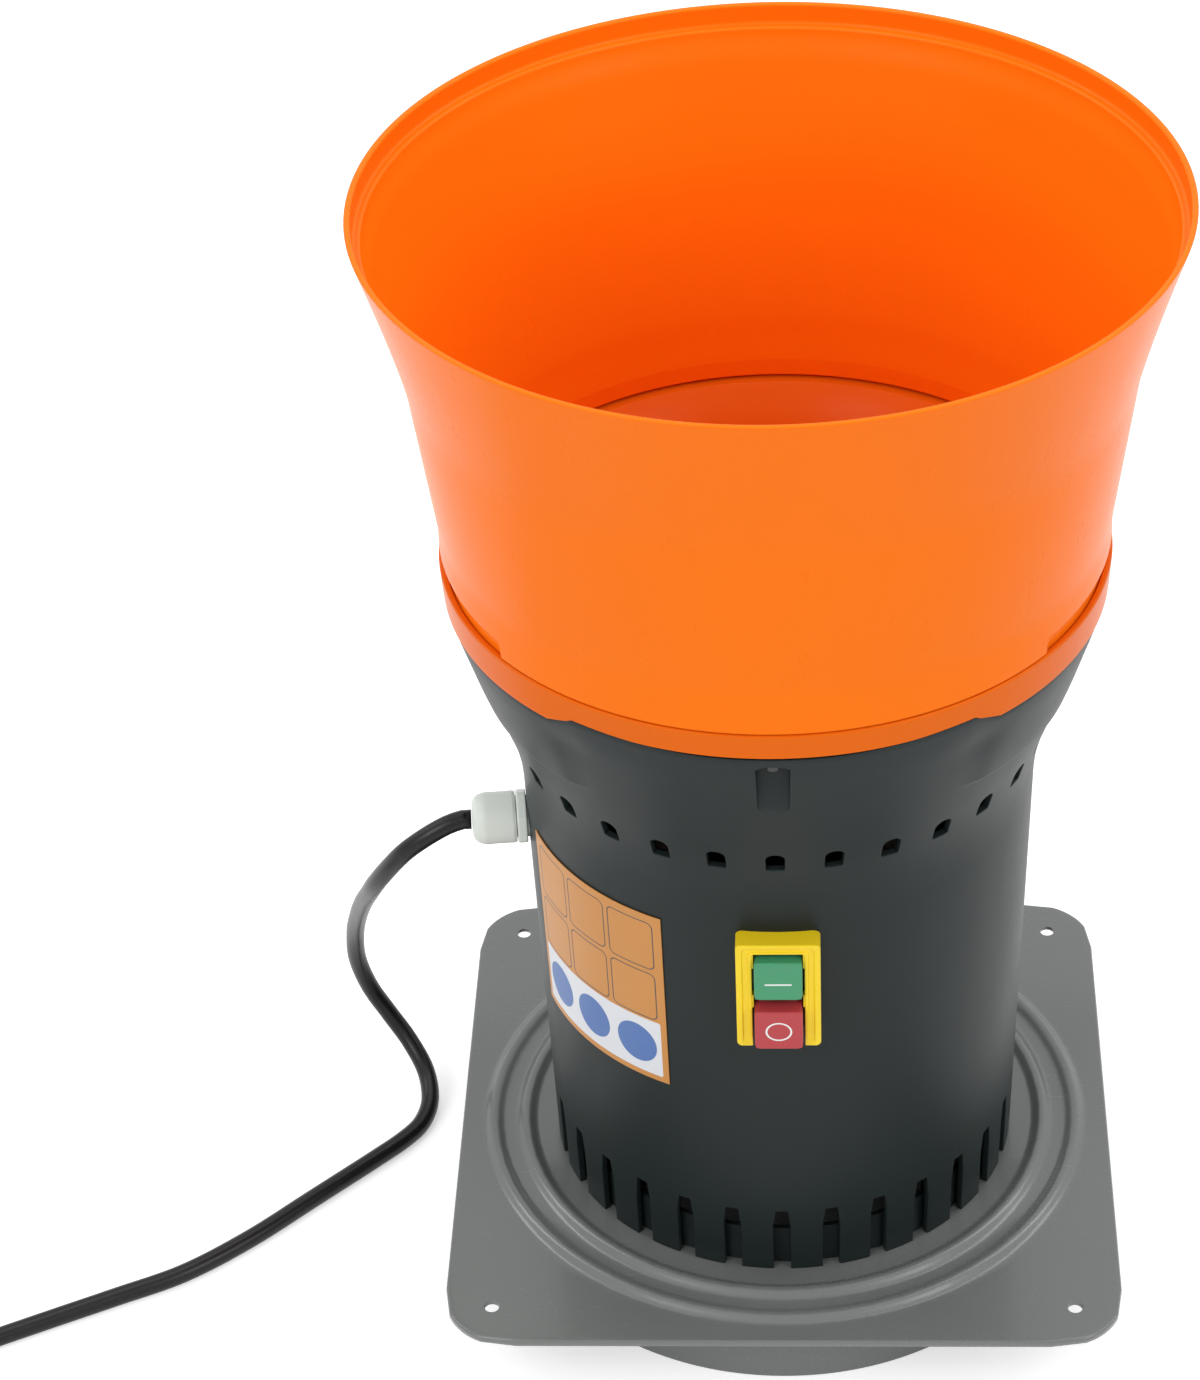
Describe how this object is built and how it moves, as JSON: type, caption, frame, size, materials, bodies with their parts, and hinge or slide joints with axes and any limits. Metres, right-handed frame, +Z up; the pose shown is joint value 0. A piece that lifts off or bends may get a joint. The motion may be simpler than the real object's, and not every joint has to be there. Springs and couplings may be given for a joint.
{
  "type": "electric grain mill",
  "caption": "Electric grain mill: flared hopper over a round motor housing on a square barrel plate, with a switch, a feed shutter, a blade chamber with a sieve, and a mains cord.",
  "frame": {"origin": "centre of the bottom edge of the round skirt under the plate, on the surface the mill stands on", "axes": "+Z up along the motor shaft, -Y towards the front with the switch, -X towards the side with the cable gland"},
  "size_m": [0.7291, 0.3672, 0.5783],
  "materials": {
    "orange_plastic": "glossy injection moulded plastic",
    "charcoal_plastic": "satin injection moulded plastic",
    "grey_paint": "satin grey paint on pressed steel",
    "bright_steel": "zinc plated or bare steel",
    "motor_iron": "laminated sheet iron",
    "cast_aluminium": "cast aluminium",
    "wound_copper": "lacquered copper wire",
    "yellow_plastic": "satin plastic",
    "green_plastic": "satin plastic",
    "red_plastic": "satin plastic",
    "black_plastic": "satin plastic",
    "pale_grey_nylon": "satin nylon",
    "black_rubber": "smooth rubber",
    "sticker_film": null
  },
  "bodies": {
    "mill": {"base_plate": "grey_paint", "chamber_drum": "grey_paint", "chamber_liner": "bright_steel", "sieve_plate": "bright_steel", "sieve_stud_1": "bright_steel", "sieve_stud_2": "bright_steel", "sieve_stud_3": "bright_steel", "locating_ring": "charcoal_plastic", "housing": "charcoal_plastic", "ring_screw_1": "bright_steel", "ring_screw_2": "bright_steel", "housing_screw_1": "bright_steel", "housing_screw_2": "bright_steel", "housing_screw_3": "bright_steel", "housing_screw_4": "bright_steel", "hopper_funnel": "orange_plastic", "feed_chute": "bright_steel", "lower_end_bell": "cast_aluminium", "upper_end_bell": "cast_aluminium", "lower_bearing": "bright_steel", "upper_bearing": "bright_steel", "stator_core": "motor_iron", "lower_winding": "wound_copper", "upper_winding": "wound_copper", "tie_bolt_1": "bright_steel", "tie_bolt_2": "bright_steel", "tie_bolt_3": "bright_steel", "tie_bolt_4": "bright_steel", "run_capacitor": "cast_aluminium", "capacitor_clamp": "bright_steel", "switch_frame": "yellow_plastic", "switch_body": "black_plastic", "start_spring": "bright_steel", "stop_spring": "bright_steel", "gland_body": "pale_grey_nylon", "gland_nut": "pale_grey_nylon", "gland_seal": "black_rubber", "gland_locknut": "pale_grey_nylon", "power_cord": "black_rubber", "cord_coil": "black_rubber", "plug_body": "black_plastic", "plug_pin_1": "bright_steel", "plug_pin_2": "bright_steel", "side_sticker": "sticker_film"},
    "rotor": {"motor_shaft": "bright_steel", "rotor_core": "motor_iron", "cooling_fan": "black_plastic", "grinding_blade": "bright_steel", "blade_spacer": "bright_steel", "blade_nut": "bright_steel"},
    "shutter": {"shutter_plate": "bright_steel", "shutter_knob": "black_plastic"},
    "start_key": {"start_button": "green_plastic"},
    "stop_key": {"stop_button": "red_plastic"},
    "hopper": {"hopper_extension": "orange_plastic"},
    "wing_nut_a": {"wing_nut_1": "bright_steel"},
    "wing_nut_b": {"wing_nut_2": "bright_steel"},
    "wing_nut_c": {"wing_nut_3": "bright_steel"}
  },
  "joints": [
    {"name": "rotor_spin", "type": "hinge", "parent": "mill", "child": "rotor", "pos_m": [0, 0, 0], "axis": [0, 0, 1], "continuous": true},
    {"name": "shutter_slide", "type": "slide", "parent": "mill", "child": "shutter", "axis": [0, 1, 0], "range_m": [0, 0.042]},
    {"name": "start_press", "type": "slide", "parent": "mill", "child": "start_key", "axis": [0, 1, 0], "range_m": [0, 0.0035], "stiffness_N_per_m": 500, "springref_m": -0.004, "deforming": ["start_spring"]},
    {"name": "stop_press", "type": "slide", "parent": "mill", "child": "stop_key", "axis": [0, 1, 0], "range_m": [0, 0.0035], "stiffness_N_per_m": 500, "springref_m": -0.004, "deforming": ["stop_spring"]},
    {"name": "hopper_lift", "type": "slide", "parent": "mill", "child": "hopper", "axis": [0, 0, 1], "range_m": [0, 0.06]},
    {"name": "wing_nut_a_turn", "type": "hinge", "parent": "mill", "child": "wing_nut_a", "pos_m": [0.0615, -0.10652, 0.005], "axis": [0, 0, 1], "continuous": true},
    {"name": "wing_nut_b_turn", "type": "hinge", "parent": "mill", "child": "wing_nut_b", "pos_m": [0.0615, 0.10652, 0.005], "axis": [0, 0, 1], "continuous": true},
    {"name": "wing_nut_c_turn", "type": "hinge", "parent": "mill", "child": "wing_nut_c", "pos_m": [-0.123, 0, 0.005], "axis": [0, 0, 1], "continuous": true}
  ]
}
